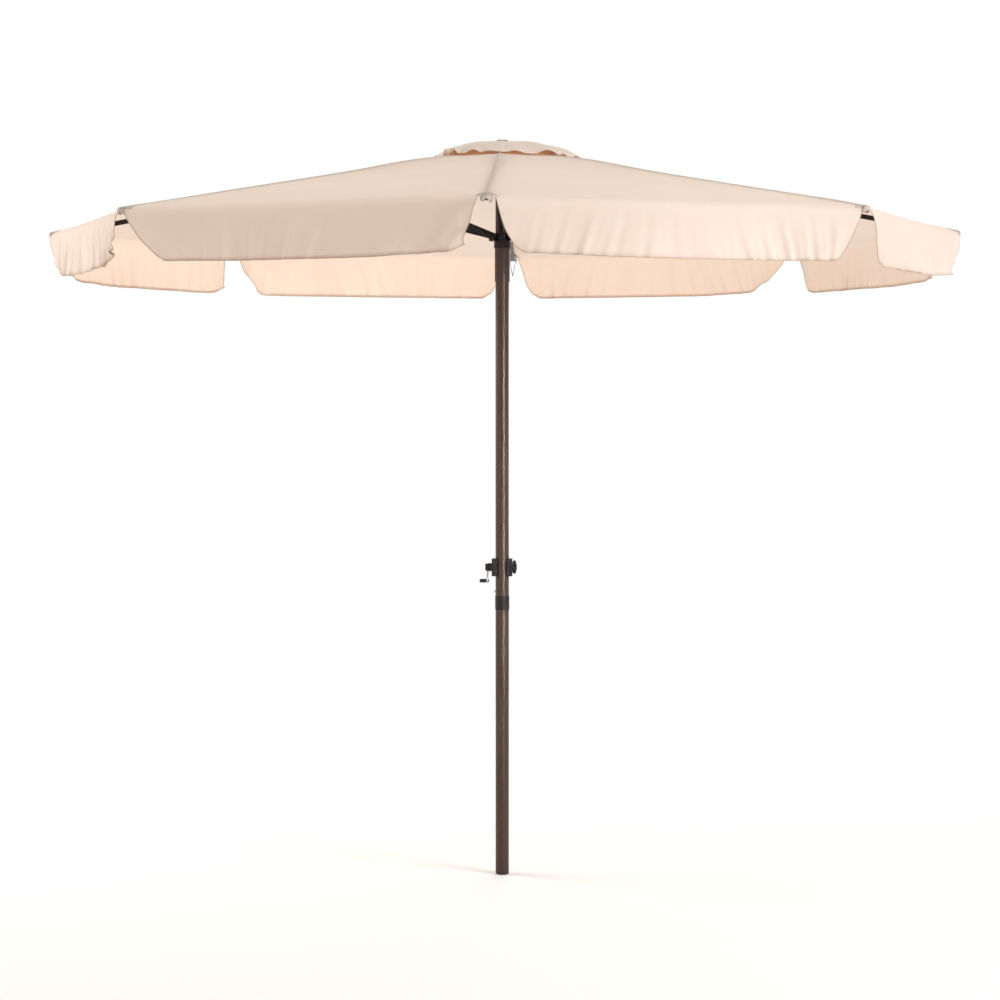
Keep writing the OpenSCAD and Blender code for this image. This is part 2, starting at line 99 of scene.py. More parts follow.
def bell(value: Array, width: float, centre: float = 0.0) -> Array:
    """Return a bump that is 1 at its centre and fades over its width."""
    return np.exp(-(((value - centre) / width) ** 2))


def wave(along: Array, pitch: float, phase: float) -> Array:
    """Return a sine wave of a pitch in metres."""
    return np.sin(2 * math.pi * along / pitch + phase)


def pair(first: Array, second: Array) -> Array:
    """Return two coordinates side by side, in one shape."""
    return np.stack(np.broadcast_arrays(first, second), axis=-1)


def unit(vectors: Array) -> Array:
    """Return vectors at a length of 1."""
    return vectors / np.linalg.norm(vectors, axis=-1, keepdims=True)


def spaced(points: Array) -> Array:
    """Return the running length to each point of a path."""
    return np.concatenate([[0.0], np.cumsum(np.linalg.norm(np.diff(points, axis=0), axis=1))])


def unit_normals(sheet: Callable[[Array, Array], Array], across: Array, along: Array, way: Array) -> Array:
    """Return a sheet's unit normals, so that both halves of a gore have the same ones.

    Args:
        sheet: gives the sheet's points from its two coordinates.
        across: the first coordinate.
        along: the second coordinate.
        way: a direction on the side that the normals point to.

    Returns:
        The normals at each place.
    """
    first = sheet(across + SLOPE_STEP, along) - sheet(across - SLOPE_STEP, along)
    second = sheet(across, along + SLOPE_STEP) - sheet(across, along - SLOPE_STEP)
    out = np.cross(second, first)
    return unit(out * np.sign(out @ way)[..., None])


# ---------------------------------------------------------------- finishes


class Shader:
    """The nodes of a material, or of the world, under construction."""

    def __init__(self, name: str, world: bool = False) -> None:
        """Start with nothing but an output node.

        Args:
            name: the finish's name, or the world's.
            world: whether the nodes are the world's.
        """
        self.owner = bpy.data.worlds.new(name) if world else bpy.data.materials.new(f"finish_{name}")
        self.owner.use_nodes = True
        self.tree = self.owner.node_tree
        self.tree.nodes.clear()
        self.output = self.add("ShaderNodeOutputWorld" if world else "ShaderNodeOutputMaterial")

    def add(self, kind: str, **values: object) -> bpy.types.Node:
        """Add a node.

        Args:
            kind: the node's type.
            values: node attributes, or input values where the name is an input's with spaces as underscores.

        Returns:
            The new node.
        """
        node = self.tree.nodes.new(kind)
        for name, value in values.items():
            label = name.replace("_", " ")
            if label in node.inputs:
                node.inputs[label].default_value = value
            else:
                setattr(node, name, value)
        return node

    def link(self, source: bpy.types.NodeSocket, target: bpy.types.NodeSocket) -> None:
        """Join two sockets."""
        self.tree.links.new(source, target)

    def feed(self, value: object, target: bpy.types.NodeSocket) -> None:
        """Give a socket a number, or join another socket to it.

        Args:
            value: the number or the socket.
            target: the socket that takes it.
        """
        if isinstance(value, bpy.types.NodeSocket):
            self.link(value, target)
        else:
            target.default_value = value

    def math(self, how: str, a: object, b: object = 0.0) -> bpy.types.NodeSocket:
        """Add a math node.

        Args:
            how: the operation.
            a: the first number or socket.
            b: the second number or socket.

        Returns:
            The result's socket.
        """
        node = self.add("ShaderNodeMath", operation=how)
        for slot, value in zip(node.inputs, (a, b)):
            self.feed(value, slot)
        return node.outputs[0]

    def blend(self, share: bpy.types.NodeSocket, low: Colour, high: Colour) -> bpy.types.NodeSocket:
        """Add a colour that goes from low to high with share.

        Args:
            share: the socket that sets the mix.
            low: the colour at 0.
            high: the colour at 1.

        Returns:
            The colour's socket.
        """
        ramp = self.add("ShaderNodeValToRGB")
        ramp.color_ramp.elements[0].color = (*low, 1.0)
        ramp.color_ramp.elements[1].color = (*high, 1.0)
        self.link(share, ramp.inputs["Fac"])
        return ramp.outputs["Color"]

    def noise(
        self, where: bpy.types.NodeSocket, scale: float, detail: float = 3.0, rough: float = 0.55
    ) -> bpy.types.NodeSocket:
        """Add a noise texture.

        Args:
            where: the coordinates it reads.
            scale: its scale in features per metre.
            detail: how many octaves it has.
            rough: how strong the fine octaves are.

        Returns:
            The noise value's socket.
        """
        node = self.add("ShaderNodeTexNoise", Scale=scale, Detail=detail, Roughness=rough)
        self.link(where, node.inputs["Vector"])
        return node.outputs["Fac"]

    def stretched(self, where: bpy.types.NodeSocket, scale: Sequence[float]) -> bpy.types.NodeSocket:
        """Add a scaling of coordinates.

        Args:
            where: the coordinates.
            scale: the share for each axis.

        Returns:
            The scaled coordinates' socket.
        """
        node = self.add("ShaderNodeMapping", Scale=tuple(scale))
        self.link(where, node.inputs["Vector"])
        return node.outputs["Vector"]

    def waves(self, where: bpy.types.NodeSocket, axis: str, pitch: float) -> bpy.types.NodeSocket:
        """Add parallel waves.

        Args:
            where: the coordinates they read.
            axis: the axis they run along.
            pitch: the distance from crest to crest in metres.

        Returns:
            The wave value's socket.
        """
        node = self.add(
            "ShaderNodeTexWave",
            bands_direction=axis,
            Scale=math.pi / 10 / pitch,
            Distortion=0.4,
            Detail=1.0,
        )
        self.link(where, node.inputs["Vector"])
        return node.outputs["Fac"]

    def bump(self, height: bpy.types.NodeSocket, strength: float, depth: float) -> bpy.types.NodeSocket:
        """Add a bump from a height.

        Args:
            height: the height's socket.
            strength: how strong the bump is, up to 1.
            depth: the depth that a height of 1 stands for, in metres.

        Returns:
            The normal's socket.
        """
        node = self.add("ShaderNodeBump", Strength=strength, Distance=depth)
        self.link(height, node.inputs["Height"])
        return node.outputs["Normal"]

    def principled(self, **values: object) -> bpy.types.Node:
        """Add the main shader and join it to the output.

        Args:
            values: its input values, named as in add.

        Returns:
            The shader's node.
        """
        node = self.add("ShaderNodeBsdfPrincipled", **values)
        self.link(node.outputs[0], self.output.inputs["Surface"])
        return node

    def roughen(self, shader: bpy.types.Node, share: bpy.types.NodeSocket, ends: tuple[float, float]) -> None:
        """Set a shader's roughness between two ends by a share."""
        low, high = ends
        self.link(self.math("ADD", self.math("MULTIPLY", share, high - low), low), shader.inputs["Roughness"])

    def mix_shaders(self, share: object, low: bpy.types.Node, high: bpy.types.Node) -> None:
        """Send two shaders to the output, mixed.

        Args:
            share: the number or socket that sets the mix.
            low: the shader at 0.
            high: the shader at 1.
        """
        node = self.add("ShaderNodeMixShader")
        self.feed(share, node.inputs[0])
        self.link(low.outputs[0], node.inputs[1])
        self.link(high.outputs[0], node.inputs[2])
        self.link(node.outputs[0], self.output.inputs["Surface"])

    def looked_at(self) -> bpy.types.NodeSocket:
        """Return a share that is 1 where the camera looks and in reflections."""
        path = self.add("ShaderNodeLightPath")
        return self.math("MAXIMUM", path.outputs["Is Camera Ray"], path.outputs["Is Glossy Ray"])


@dataclass(frozen=True)
class ClothFinish:
    """Woven canopy cloth that lets some light through."""

    name: str
    colour: Colour
    shade: Colour
    through: Colour
    thin: float = 0.4
    yarn: float = 0.0011
    stitched: bool = False
    stitch_off: float = 0.0042
    stitch_long: float = 0.006
    thread_r: float = 0.0007

    def build(self) -> bpy.types.Material:
        """Build the material; its UVs are metres on the cut cloth.

        Returns:
            The material.
        """
        s = Shader(self.name)
        uv = s.add("ShaderNodeTexCoord").outputs["UV"]
        cloud = s.noise(uv, 2.6, 4.0)
        slub = s.noise(s.stretched(uv, (60, 700, 1)), 1.0, 2.0)
        tone = s.math("ADD", s.math("MULTIPLY", cloud, 0.65), s.math("MULTIPLY", slub, 0.35))
        colour = s.blend(s.math("MULTIPLY", s.math("SUBTRACT", tone, 0.32), 2.8), self.shade, self.colour)
        warp = s.waves(uv, "X", self.yarn)
        weft = s.waves(uv, "Y", self.yarn)
        weave = s.math("ADD", s.math("MULTIPLY", warp, 0.5), s.math("MULTIPLY", weft, 0.5))
        height = s.math("ADD", weave, s.math("MULTIPLY", s.noise(uv, 38.0, 3.0), 0.9))
        if self.stitched:
            colour, height = self.stitch(s, uv, colour, height)
        shader = s.add("ShaderNodeBsdfPrincipled", Roughness=0.86, Sheen_Weight=0.05, Sheen_Roughness=0.5)
        shader.inputs["Specular IOR Level"].default_value = 0.12
        s.link(colour, shader.inputs["Base Color"])
        normal = s.bump(height, 0.28, 0.0009)
        s.link(normal, shader.inputs["Normal"])
        glow = s.add("ShaderNodeBsdfTranslucent", Color=(*self.through, 1.0))
        s.link(normal, glow.inputs["Normal"])
        s.mix_shaders(self.thin, shader, glow)
        return s.owner

    def stitch(
        self, s: Shader, uv: bpy.types.NodeSocket, colour: bpy.types.NodeSocket, height: bpy.types.NodeSocket
    ) -> tuple[bpy.types.NodeSocket, bpy.types.NodeSocket]:
        """Add two rows of stitches beside the middle of a tape.

        Args:
            s: the shader.
            uv: the coordinates, across the tape from its middle and along it.
            colour: the cloth's colour so far.
            height: the cloth's height so far.

        Returns:
            The new colour and height.
        """
        split = s.add("ShaderNodeSeparateXYZ")
        s.link(uv, split.inputs[0])
        off = s.math("ABSOLUTE", s.math("SUBTRACT", s.math("ABSOLUTE", split.outputs["X"]), self.stitch_off))
        row = s.math("LESS_THAN", off, self.thread_r)
        step = s.math("FRACT", s.math("DIVIDE", split.outputs["Y"], self.stitch_long))
        dash = s.math("LESS_THAN", step, 0.68)
        thread = s.math("MULTIPLY", row, dash)
        mix = s.add("ShaderNodeMix", data_type="RGBA")
        s.link(thread, mix.inputs["Factor"])
        s.link(colour, mix.inputs[6])
        mix.inputs[7].default_value = (0.62, 0.5, 0.4, 1.0)
        return mix.outputs[2], s.math("SUBTRACT", height, s.math("MULTIPLY", row, 0.8))


@dataclass(frozen=True)
class PaintFinish:
    """Powder-coated metal with a fine orange peel and faint rub marks."""

    name: str
    colour: Colour
    worn: Colour
    roughness: tuple[float, float] = (0.34, 0.5)
    peel: float = 900.0
    metal: float = 0.0

    def build(self) -> bpy.types.Material:
        """Build the material.

        Returns:
            The material.
        """
        s = Shader(self.name)
        place = s.add("ShaderNodeTexCoord").outputs["Object"]
        rub = s.noise(s.stretched(place, (60, 60, 4)), 1.0, 5.0, 0.65)
        speck = s.noise(place, 240.0, 4.0, 0.7)
        wear = s.math("MULTIPLY", s.math("SUBTRACT", s.math("MULTIPLY", rub, speck), 0.22), 3.4)
        shader = s.principled(Specular_IOR_Level=0.2, Metallic=self.metal)
        s.link(s.blend(wear, self.colour, self.worn), shader.inputs["Base Color"])
        s.roughen(shader, rub, self.roughness)
        s.link(s.bump(s.noise(place, self.peel, 2.0), 0.06, 0.0001), shader.inputs["Normal"])
        return s.owner


@dataclass(frozen=True)
class PlasticFinish:
    """Moulded plastic with a fine spark-eroded grain."""

    name: str
    colour: Colour
    worn: Colour
    roughness: tuple[float, float] = (0.42, 0.62)
    grain: float = 1500.0

    def build(self) -> bpy.types.Material:
        """Build the material.

        Returns:
            The material.
        """
        s = Shader(self.name)
        place = s.add("ShaderNodeTexCoord").outputs["Object"]
        haze = s.noise(place, 45.0, 4.0, 0.6)
        shader = s.principled(Specular_IOR_Level=0.25)
        tone = s.math("MULTIPLY", s.math("SUBTRACT", haze, 0.35), 2.2)
        s.link(s.blend(tone, self.colour, self.worn), shader.inputs["Base Color"])
        s.roughen(shader, haze, self.roughness)
        s.link(s.bump(s.noise(place, self.grain, 3.0), 0.25, 0.0003), shader.inputs["Normal"])
        return s.owner


@dataclass(frozen=True)
class TwoToneFinish:
    """Moulded plastic, grained above a height and painted like the pole below it."""

    name: str
    colour: Colour
    lower: Colour
    split: float
    roughness: tuple[float, float] = (0.28, 0.48)

    def build(self) -> bpy.types.Material:
        """Build the material.

        Returns:
            The material.
        """
        s = Shader(self.name)
        place = s.add("ShaderNodeTexCoord").outputs["Object"]
        haze = s.noise(place, 60.0, 4.0, 0.6)
        parts = s.add("ShaderNodeSeparateXYZ")
        s.link(place, parts.inputs[0])
        above = s.math("GREATER_THAN", parts.outputs["Z"], self.split)
        shader = s.principled(Specular_IOR_Level=0.3)
        s.link(s.blend(above, self.lower, self.colour), shader.inputs["Base Color"])
        s.roughen(shader, haze, self.roughness)
        s.link(s.bump(s.noise(place, 1100.0, 3.0), 0.2, 0.0003), shader.inputs["Normal"])
        return s.owner


@dataclass(frozen=True)
class MetalFinish:
    """Bare metal, brushed one way."""

    name: str
    colour: Colour
    dull: Colour
    roughness: tuple[float, float] = (0.24, 0.42)
    brushed: tuple[float, float, float] = (30.0, 900.0, 900.0)

    def build(self) -> bpy.types.Material:
        """Build the material.

        Returns:
            The material.
        """
        s = Shader(self.name)
        place = s.add("ShaderNodeTexCoord").outputs["Object"]
        line = s.noise(s.stretched(place, self.brushed), 1.0, 3.0, 0.6)
        spot = s.noise(place, 70.0, 4.0, 0.6)
        shader = s.principled(Metallic=1.0)
        s.link(s.blend(spot, self.dull, self.colour), shader.inputs["Base Color"])
        s.roughen(shader, line, self.roughness)
        s.link(s.bump(line, 0.12, 0.0002), shader.inputs["Normal"])
        return s.owner


@dataclass(frozen=True)
class RopeFinish:
    """A braided cord."""

    name: str
    colour: Colour
    fleck: Colour
    braid: float = 0.004

    def build(self) -> bpy.types.Material:
        """Build the material.

        Returns:
            The material.
        """
        s = Shader(self.name)
        place = s.add("ShaderNodeTexCoord").outputs["Object"]
        one = s.waves(s.stretched(place, (0.8, 0.8, 1)), "DIAGONAL", self.braid)
        two = s.waves(s.stretched(place, (-0.8, -0.8, 1)), "DIAGONAL", self.braid)
        plait = s.math("MAXIMUM", one, two)
        shader = s.principled(Roughness=0.9)
        s.link(s.blend(plait, self.fleck, self.colour), shader.inputs["Base Color"])
        s.link(s.bump(plait, 0.6, 0.0006), shader.inputs["Normal"])
        return s.owner


RUNNER_SPLIT = float(joint_place("runner_hinge")[2]) - 0.04
CRANK_SPLIT = float(joint_place("crank_turn")[2]) - 0.0135


class Finish(Enum):
    """Every finish on the umbrella."""

    CLOTH = ClothFinish("canopy_cloth", (0.86, 0.8, 0.755), (0.8, 0.735, 0.68), (0.9, 0.67, 0.52))
    # Painted light: the canopy's cloth in a brighter colour, standing in for light shining through the cap.
    CAP = ClothFinish("cap_cloth_painted_light", (0.95, 0.89, 0.82), (0.86, 0.77, 0.68), (0.92, 0.72, 0.56), thin=0.25)
    # Partly painted light: real stitched tape, coloured lighter than the cloth to cancel the shade that falls on
    # the narrow raised tape.
    TAPE = ClothFinish(
        "seam_tape_painted_light", (0.9, 0.85, 0.8), (0.84, 0.78, 0.72), (0.93, 0.7, 0.55), thin=0.4, stitched=True
    )
    BINDING = ClothFinish("hem_binding", (0.7, 0.56, 0.44), (0.6, 0.47, 0.36), (0.75, 0.53, 0.38), thin=0.2)
    # Painted shade: a warm dark cloth colour for the band under the vent cap, standing in for the shade in the
    # cap's gaps.
    LINER = ClothFinish("vent_gap_shade", (0.78, 0.46, 0.3), (0.66, 0.36, 0.22), (0.88, 0.5, 0.3), thin=0.45)
    PATCH = ClothFinish("corner_patch", (0.7, 0.63, 0.56), (0.6, 0.53, 0.47), (0.6, 0.47, 0.38), thin=0.2)
    WEB = ClothFinish("strap_web", (0.018, 0.015, 0.014), (0.03, 0.026, 0.024), (0.02, 0.02, 0.02), thin=0.02)
    POLE = PaintFinish("pole_paint", (0.068, 0.043, 0.035), (0.105, 0.076, 0.064), (0.27, 0.36), metal=0.4)
    FRAME = PaintFinish("frame_paint", (0.016, 0.012, 0.011), (0.04, 0.032, 0.028))
    FITTING = PlasticFinish("fitting_plastic", (0.008, 0.007, 0.007), (0.018, 0.016, 0.015))
    RUNNER = TwoToneFinish("runner_plastic", (0.008, 0.007, 0.007), (0.06, 0.037, 0.03), RUNNER_SPLIT)
    CRANK = PlasticFinish("crank_plastic", (0.012, 0.01, 0.009), (0.03, 0.026, 0.023))
    CRANK_METAL = TwoToneFinish("crank_arm_paint", (0.02, 0.015, 0.013), (0.34, 0.29, 0.26), CRANK_SPLIT)
    STEEL = MetalFinish("pin_steel", (0.62, 0.6, 0.57), (0.42, 0.4, 0.38))
    NYLON = PlasticFinish("nylon", (0.24, 0.22, 0.21), (0.34, 0.32, 0.3))
    ROPE = RopeFinish("rope_braid", (0.72, 0.66, 0.56), (0.36, 0.31, 0.25))

    def material(self) -> bpy.types.Material:
        """Return the finish's material, built the first time."""
        found = bpy.data.materials.get(f"finish_{self.value.name}")
        return found if found else self.value.build()


class Slot(Enum):
    """The record's material slots and the finish that each takes."""

    CANOPY_CLOTH = ("canopy_cloth", Finish.CLOTH)
    BROWN_POLE = ("brown_pole", Finish.POLE)
    BROWN_STEEL = ("brown_steel", Finish.FRAME)
    BLACK_FITTINGS = ("black_fittings", Finish.FITTING)
    CRANK_PLASTIC = ("crank_plastic", Finish.CRANK)
    CRANK_METAL = ("crank_metal", Finish.CRANK_METAL)
    BRIGHT_STEEL = ("bright_steel", Finish.STEEL)
    GREY_NYLON = ("grey_nylon", Finish.NYLON)
    ROPE = ("rope", Finish.ROPE)


# ---------------------------------------------------------------- meshes


@dataclass
class Maker:
    """Gathers points and faces for one mesh piece."""

    points: list[Array] = field(default_factory=list)
    faces: list[tuple[int, ...]] = field(default_factory=list)
    uvs: list[tuple[float, float]] = field(default_factory=list)
    slots: list[int] = field(default_factory=list)
    normals: list[Array] = field(default_factory=list)
    count: int = 0

    def grid(
        self, points: Array, uv: Array, slot: int = 0, round_too: bool = False, normals: Array | None = None
    ) -> None:
        """Add a grid of quads.

        Args:
            points: rows by columns by 3.
            uv: rows by columns by 2, in metres.
            slot: the material's number on the piece.
            round_too: whether the last column joins the first.
            normals: rows by columns by 3, or None to take them from the faces.
        """
        rows, cols = points.shape[:2]
        if normals is not None:
            faced = np.cross(points[:-1, 1:] - points[:-1, :-1], points[1:, :-1] - points[:-1, :-1])
            if np.sum(faced * normals[:-1, :-1]) < 0:
                points, uv, normals = points[:, ::-1], uv[:, ::-1], normals[:, ::-1]
        first = self.count
        flat_uv = uv.reshape(-1, 2)
        wide = cols if round_too else cols - 1
        for r in range(rows - 1):
            for c in range(wide):
                d = (c + 1) % cols
                ring = (r * cols + c, r * cols + d, (r + 1) * cols + d, (r + 1) * cols + c)
                self.faces.append(tuple(first + k for k in ring))
                self.uvs.extend(tuple(flat_uv[k]) for k in ring)
                self.slots.append(slot)
        self.points.append(points.reshape(-1, 3))
        blank = np.zeros((rows * cols, 3))
        self.normals.append(blank if normals is None else normals.reshape(-1, 3))
        self.count += rows * cols

    def tube(self, path: Array, radius: float, slot: int = 0, sides: int = 6) -> None:
        """Add a round tube along a path, closed at both ends.

        Args:
            path: the points along its middle.
            radius: its radius.
            slot: the material's number on the piece.
            sides: how many sides it has.
        """
        ahead = unit(np.gradient(path, axis=0))
        up = np.where(np.abs(ahead[:, 2:]) > 0.9, np.array([[1.0, 0, 0]]), np.array([[0, 0, 1.0]]))
        side = unit(np.cross(ahead, up))
        top = np.cross(side, ahead)
        turn = np.linspace(0, 2 * np.pi, sides, endpoint=False)
        ring = side[:, None] * np.cos(turn)[:, None] + top[:, None] * np.sin(turn)[:, None]
        points = path[:, None] + radius * ring
        start, end = (np.repeat(tip[:, None], sides, 1) for tip in (path[:1], path[-1:]))
        points = np.concatenate([start, points, end])
        along = spaced(points[:, 0])
        around = np.linspace(0, 2 * np.pi * radius, sides, endpoint=False)
        uv = np.stack(np.meshgrid(around, along), axis=-1)
        self.grid(points, uv, slot, round_too=True)

    def build(self, name: str, finishes: Sequence[Finish]) -> bpy.types.Object:
        """Make the object.

        Args:
            name: the piece's name.
            finishes: its materials, in the order of their numbers.

        Returns:
            The new object.
        """
        mesh = bpy.data.meshes.new(name)
        points = np.concatenate(self.points)
        mesh.from_pydata(points.tolist(), [], self.faces)
        layer = mesh.uv_layers.new(name="cut")
        layer.data.foreach_set("uv", np.array(self.uvs, dtype=np.float32).ravel())
        for finish in finishes:
            mesh.materials.append(finish.material())
        mesh.polygons.foreach_set("material_index", self.slots)
        mesh.polygons.foreach_set("use_smooth", [True] * len(self.faces))
        mesh.validate()
        mesh.update()
        normals = np.concatenate(self.normals)
        if np.abs(normals).sum() > 0:
            mesh.normals_split_custom_set_from_vertices(normals.tolist())
        made = bpy.data.objects.new(name, mesh)
        bpy.context.scene.collection.objects.link(made)
        return made


def area_of(piece: bpy.types.Object) -> float:
    """Return the area of a piece's faces."""
    return float(sum(p.area for p in piece.data.polygons))


# ---------------------------------------------------------------- cloth


@dataclass
class Canopy:
    """The main cloth: eight gores, each half of it riding on the rib beside it."""

    radius: float = float(abs(joint_place("valance_0_hang")[1]))
    tip_z: float = float(joint_place("valance_0_hang")[2])
    hub: Array = field(default_factory=lambda: joint_place("fold"))
    slope: float = math.radians(10.4)
    vent_r: float = 0.15
    lift: float = 0.0016
    sag: float = 0.009
    bow: float = 0.012
    crown: float = 0.006
    ridge: float = 0.0012
    roll: float = 0.024
    seam_half: float = 0.0065
    binding_r: float = 0.0016
    across: int = 22
    along: int = 72
    keep: float = 0.106
    puffs: tuple[float, ...] = (0.0, 0.004, 0.0, 0.0, 0.003, 0.0, 0.006, 0.0)

    def apex_z(self) -> float:
        """Return the height where the rib lines meet on the axis."""
        return self.tip_z + math.tan(self.slope) * self.radius

    def rib_z(self, r: Array | float) -> Array | float:
        """Return the cloth's height over a rib."""
        return self.apex_z() - math.tan(self.slope) * r

    def gore(self, gore: int, u: Array, v: Array) -> Array:
        """Return points on a gore.

        Args:
            gore: its number; it lies between the rib of that number and the next.
            u: the share of the way from rib to rib.
            v: the share of the way from the vent to the hem.

        Returns:
            The points, with the shape of u and v and 3 more.
        """
        gore %= RIBS
        r = self.vent_r + (self.radius - self.vent_r) * v
        chord = CHORD * r
        mid = 4 * u * (1 - u)
        near = np.minimum(np.abs(u), np.abs(1 - u)) * chord
        way = (1 - u)[..., None] * rib_way(gore) + u[..., None] * rib_way(gore + 1)
        point = way * (r - self.bow * mid * v**9)[..., None]
        z = self.rib_z(r) + self.lift
        z = z - self.sag * np.sin(math.pi * np.clip(u, 0, 1)) * np.sin(math.pi * v) ** 0.7
        z = z + self.crown * bell(r, 0.17, centre=0.42)
        z = z + self.puffs[gore] * mid * bell(r, 0.2, centre=0.5)
        z = z + self.ridge * bell(near, 0.008)
        turned = np.clip(1 - (self.radius - r) / self.roll, 0, None)
        z = z - 0.35 * self.roll * turned**2 * smooth(near, 0.0, 0.035)
        point[..., 2] = z + self.creases(gore, u, v, r)
        return point

    def creases(self, gore: int, u: Array, v: Array, r: Array) -> Array:
        """Return the small heights of the pulls in a gore.

        Args:
            gore: the gore's number.
            u: the share of the way from rib to rib.
            v: the share of the way from the vent to the hem.
            r: the distance from the axis.

        Returns:
            The heights to add.
        """
        phase = 1.7 * gore
        mid = np.clip(4 * u * (1 - u), 0, 1)
        # level pulls below the vent
        pulls = np.sin(2 * math.pi * (r / 0.052 + 0.35 * np.sin(3 * u + phase)) + phase)
        height = 0.0019 * pulls * bell(r, 0.17, centre=0.38) * mid**0.6
        # fans of pulls from each corner pocket
        for side in (0.0, 1.0):
            out = (1 - v) * (self.radius - self.vent_r)
            away = np.abs(u - side) * CHORD * r
            turn = np.arctan2(away, out + 0.02)
            reach = np.hypot(away, out)
            fan = np.sin(13 * turn + phase + 2 * side)
            height = height + 0.0022 * fan * bell(reach, 0.3) * smooth(reach, 0.02, 0.12)
        # slow waves over the whole panel
        slow = np.sin(5.1 * u + 2.3 * v + phase) * np.sin(3.4 * v - 1.9 * u + 2 * phase)
        return height + 0.003 * slow * mid * np.sin(math.pi * np.clip(v, 0, 1))

    def normals(self, gore: int, u: Array, v: Array) -> Array:
        """Return unit normals on the upper face of a gore."""
        return unit_normals(lambda a, b: self.gore(gore, a, b), u, v, np.array([0.0, 0.0, 1.0]))

    def half_gores(self, rib: int) -> list[tuple[int, Array]]:
        """Return the gores on each side of a rib, with the places across each of its half."""
        away = 0.5 * np.linspace(0, 1, self.across) ** 1.5
        return [(rib, away), (rib - 1, 1 - away)]

    def dress(self) -> None:
        """Build the cloth, its seams and its hem for every rib."""
        for rib in range(RIBS):
            cloth = self.cloth(rib)
            seam = self.seam(rib)
            for piece in (cloth, seam):
                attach(piece, f"rib_{rib}")
                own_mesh(piece)
            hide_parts(f"canopy_sector_{rib}")

    def cloth(self, rib: int) -> bpy.types.Object:
        """Build the cloth on both sides of a rib as one piece.

        Args:
            rib: the rib's number.

        Returns:
            The cloth.
        """
        maker = Maker()
        v = np.concatenate([np.linspace(0, 0.975, self.along), np.linspace(0.98, 1, 8)])
        for gore, across in self.half_gores(rib):
            u, vv = np.meshgrid(across, v)
            points = self.gore(gore, u, vv)
            r = self.vent_r + (self.radius - self.vent_r) * vv
            uv = pair((u - 0.5) * CHORD * r, r / math.cos(self.slope))
            maker.grid(points, uv, normals=self.normals(gore, u, vv))
        return maker.build(f"canopy_cloth_{rib}", [Finish.CLOTH])

    def seam(self, rib: int) -> bpy.types.Object:
        """Build the felled seam along a rib, with the binding round the vent.

        Args:
            rib: the rib's number.

        Returns:
            The seam.
        """
        maker = Maker()
        v = np.linspace(0.0, 0.992, 90)
        rise = np.array([0.0002, 0.0011, 0.0013, 0.0011, 0.0002])
        shift = np.linspace(-self.seam_half, self.seam_half, len(rise))
        r = self.vent_r + (self.radius - self.vent_r) * v
        rows = []
        for move, up in zip(shift, rise):
            u = np.abs(move) / (CHORD * r)
            spot = self.gore(rib, u, v) if move >= 0 else self.gore(rib - 1, 1 - u, v)
            rows.append(spot + np.array([0, 0, up]))
        points = np.stack(rows, axis=1)
        uv = pair(shift[None, :], (r / math.cos(self.slope))[:, None])
        maker.grid(points, uv, slot=0)
        for gore, across in self.half_gores(rib):
            maker.tube(self.gore(gore, across, np.zeros_like(across)), self.binding_r, slot=1)
        return maker.build(f"canopy_seam_{rib}", [Finish.TAPE, Finish.BINDING])


@dataclass(frozen=True)
class FlapEnd:
    """How one end of a valance flap is cut and hangs.

    The first two fields are metres from the rib's line at the top and at the bottom. The rest are the curl
    inwards, the wave in the side edge, the share by which the flap is pulled up, the height of the rounded
    corner, and how late the side edge bends away.
    """

    top: float
    bottom: float
    curl: float
    ripple: float = 0.004
    rise: float = 0.0
    corner: float = 0.012
    bend: float = 1.15


